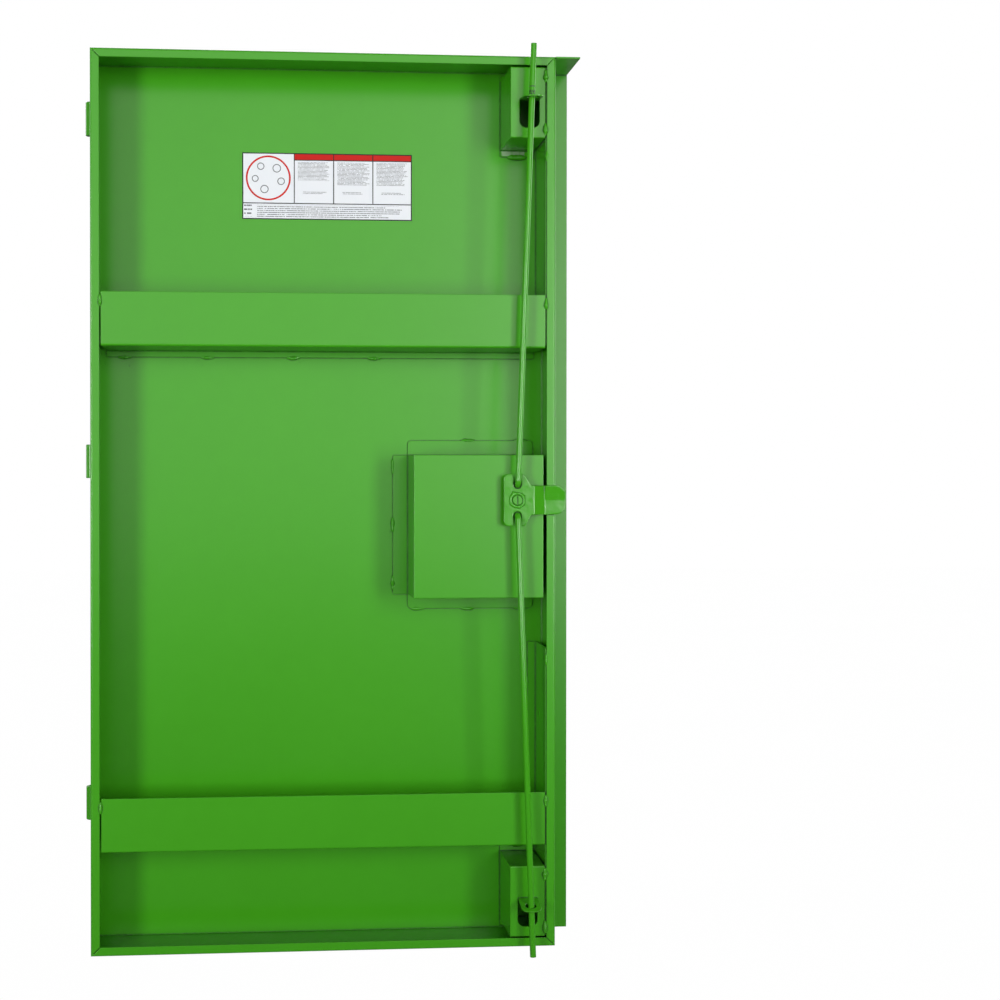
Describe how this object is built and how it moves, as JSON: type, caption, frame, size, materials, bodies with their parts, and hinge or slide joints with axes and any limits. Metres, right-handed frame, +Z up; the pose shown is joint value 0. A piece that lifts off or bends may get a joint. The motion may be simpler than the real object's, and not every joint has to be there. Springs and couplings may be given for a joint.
{
  "type": "storage cabinet door",
  "caption": "Deep folded-steel cabinet door seen as a separate leaf, with inside trays, a recessed lock pocket and a turning latch plate that draws bolt rods in at top and bottom.",
  "frame": {"origin": "on the lowest hinge barrel's bore, halfway up the barrel", "axes": "+Z up along the hinge line, +X from the hinge side to the latch side, +Y out of the cabinet through the door's skin"},
  "size_m": [0.785, 0.1485, 1.4309],
  "materials": {
    "green_paint": "semi-gloss powder coat",
    "label_film": "satin film",
    "zinc_steel": "zinc plated",
    "black_vinyl": "dipped vinyl"
  },
  "bodies": {
    "door": {"door_pan": "green_paint", "meeting_strip": "green_paint", "top_cap_plate": "green_paint", "upper_tray": "green_paint", "lower_tray": "green_paint", "upper_rod_guide": "green_paint", "lower_rod_guide": "green_paint", "upper_stiffener": "green_paint", "lower_stiffener": "green_paint", "label": "label_film", "lock_pocket": "green_paint", "spindle_bush": "green_paint", "padlock_lug": "green_paint", "handle_stop": "green_paint", "lower_hinge_barrel": "green_paint", "middle_hinge_barrel": "green_paint", "upper_hinge_barrel": "green_paint", "tray_welds": "green_paint", "guide_welds": "green_paint", "pocket_welds": "green_paint", "stiffener_welds": "green_paint", "hinge_welds": "green_paint"},
    "latch": {"latch_plate": "green_paint", "keeper_plate": "green_paint", "spindle": "green_paint", "spindle_weld": "green_paint", "thrust_washer": "zinc_steel", "handle_hub": "green_paint", "hub_pin": "zinc_steel", "handle_lever": "green_paint", "handle_grip": "black_vinyl", "handle_lug": "green_paint"},
    "upper_rod": {"upper_rod": "green_paint", "upper_rod_clip": "zinc_steel"},
    "lower_rod": {"lower_rod": "green_paint", "lower_rod_clip": "zinc_steel"}
  },
  "joints": [
    {"name": "latch_turn", "type": "hinge", "parent": "door", "child": "latch", "pos_m": [0.675, -0.097, 0.4885], "axis": [0, 1, 0], "range_deg": [0, 90]},
    {"name": "upper_rod_pivot", "type": "hinge", "parent": "latch", "child": "upper_rod", "pos_m": [0.675, -0.097, 0.5125], "axis": [0, 1, 0], "range_deg": [-93, 0]},
    {"name": "lower_rod_pivot", "type": "hinge", "parent": "latch", "child": "lower_rod", "pos_m": [0.675, -0.097, 0.4645], "axis": [0, 1, 0], "range_deg": [-93, 0]}
  ],
  "couplings": [
    {"joint": "upper_rod_pivot", "follows": "latch_turn", "ratio": -1.027},
    {"joint": "lower_rod_pivot", "follows": "latch_turn", "ratio": -1.0255}
  ]
}
